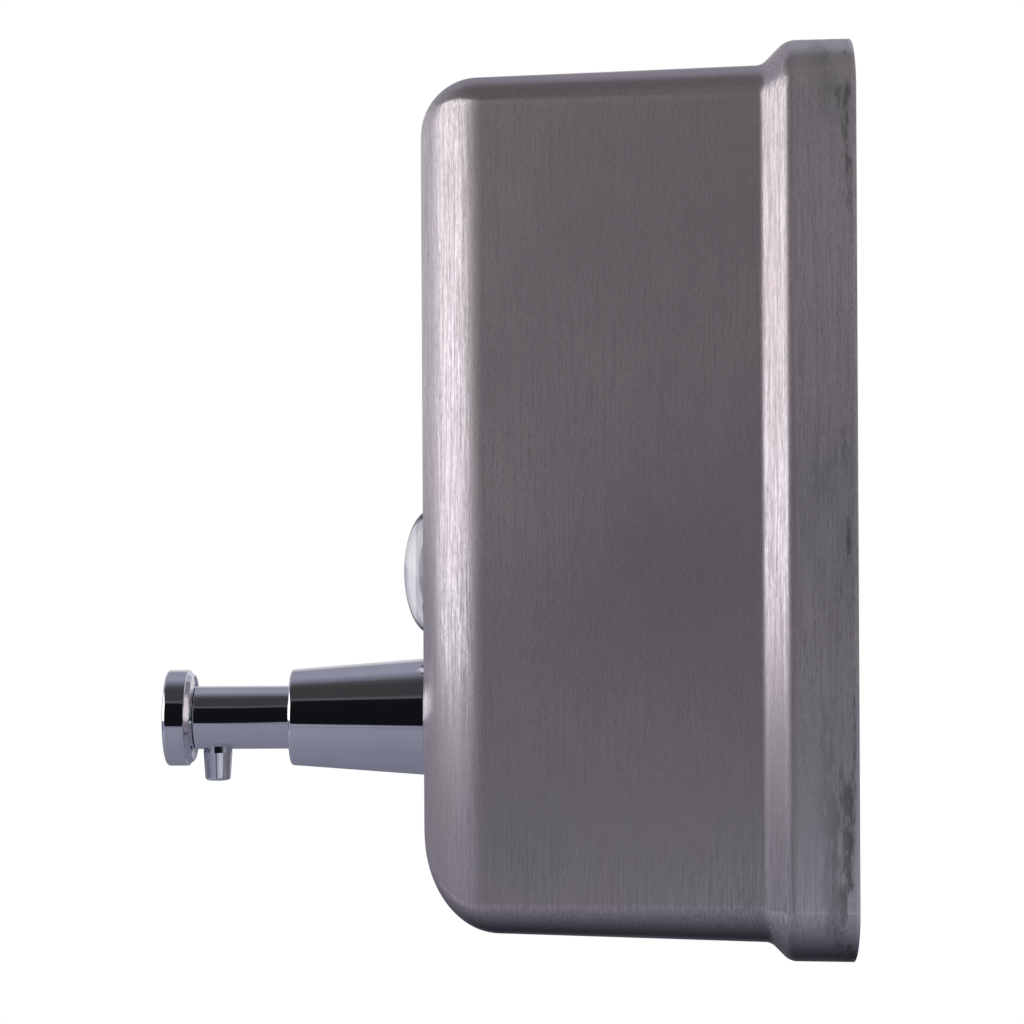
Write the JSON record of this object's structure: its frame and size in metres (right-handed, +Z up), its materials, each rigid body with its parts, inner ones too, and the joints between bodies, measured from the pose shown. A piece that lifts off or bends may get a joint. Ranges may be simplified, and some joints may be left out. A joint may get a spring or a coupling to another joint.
{
  "type": "wall mounted soap dispenser",
  "caption": "Wall mounted soap dispenser with a drawn steel tank, push pump with downward spout, sight window and keyed filler lid.",
  "frame": {"origin": "on the wall face of the wall plate, at the centre of the shell's width and height", "axes": "+X to the right seen from the front, +Y into the wall, +Z up"},
  "size_m": [0.124, 0.1602, 0.206],
  "materials": {
    "brushed_shell": "stainless sheet, brushed from top to bottom",
    "plain_steel": "mill finish stainless sheet",
    "fasteners": "bright stainless wire and bar",
    "bright_chrome": "polished chrome plate",
    "clear_lens": "clear moulded plastic",
    "white_plastic": "natural white moulded plastic",
    "grey_plastic": "grey moulded plastic",
    "seals": "dark moulded rubber"
  },
  "bodies": {
    "root": {"front_shell": "brushed_shell", "back_pan": "plain_steel", "hanger_bracket": "plain_steel", "wall_plate": "plain_steel", "mount_lock_screw": "fasteners", "filler_rim": "plain_steel", "lid_gasket": "seals", "lid_hinge_leaf": "plain_steel", "lid_hinge_pin": "fasteners", "lock_keeper": "plain_steel", "window_lens": "clear_lens", "window_gasket": "seals", "window_retainer": "plain_steel", "window_stud_left": "fasteners", "window_nut_left": "fasteners", "window_stud_right": "fasteners", "window_nut_right": "fasteners", "escutcheon": "bright_chrome", "outer_washer": "seals", "inner_washer": "seals", "pump_housing": "white_plastic", "guide_bush": "grey_plastic", "return_spring": "fasteners", "inlet_elbow": "white_plastic", "suction_tube": "clear_lens"},
    "plunger": {"plunger_tube": "bright_chrome", "push_button": "bright_chrome", "spout_nozzle": "bright_chrome", "piston_rod": "white_plastic", "piston": "white_plastic", "piston_seal": "seals", "outlet_valve": "seals"},
    "lid": {"filler_lid": "brushed_shell", "lock_barrel": "bright_chrome", "lock_nut": "fasteners"},
    "lock": {"lock_plug": "bright_chrome", "lock_cam": "plain_steel", "lock_cam_screw": "fasteners"},
    "valve_ball": {"inlet_ball": "fasteners"}
  },
  "joints": [
    {"name": "pump_press", "type": "slide", "parent": "root", "child": "plunger", "axis": [0, 1, 0], "range_m": [0, 0.013], "stiffness_N_per_m": 350, "springref_m": -0.01, "deforming": ["return_spring"]},
    {"name": "lid_hinge", "type": "hinge", "parent": "root", "child": "lid", "pos_m": [0, -0.03208, 0.09889], "axis": [-1, 0, 0], "range_deg": [0, 105]},
    {"name": "lock_turn", "type": "hinge", "parent": "lid", "child": "lock", "pos_m": [0, -0.06255, 0.09753], "axis": [0, 0.0349, -0.9994], "range_deg": [0, 90]},
    {"name": "inlet_valve_lift", "type": "slide", "parent": "root", "child": "valve_ball", "axis": [0, 0, 1], "range_m": [0, 0.0015]}
  ]
}
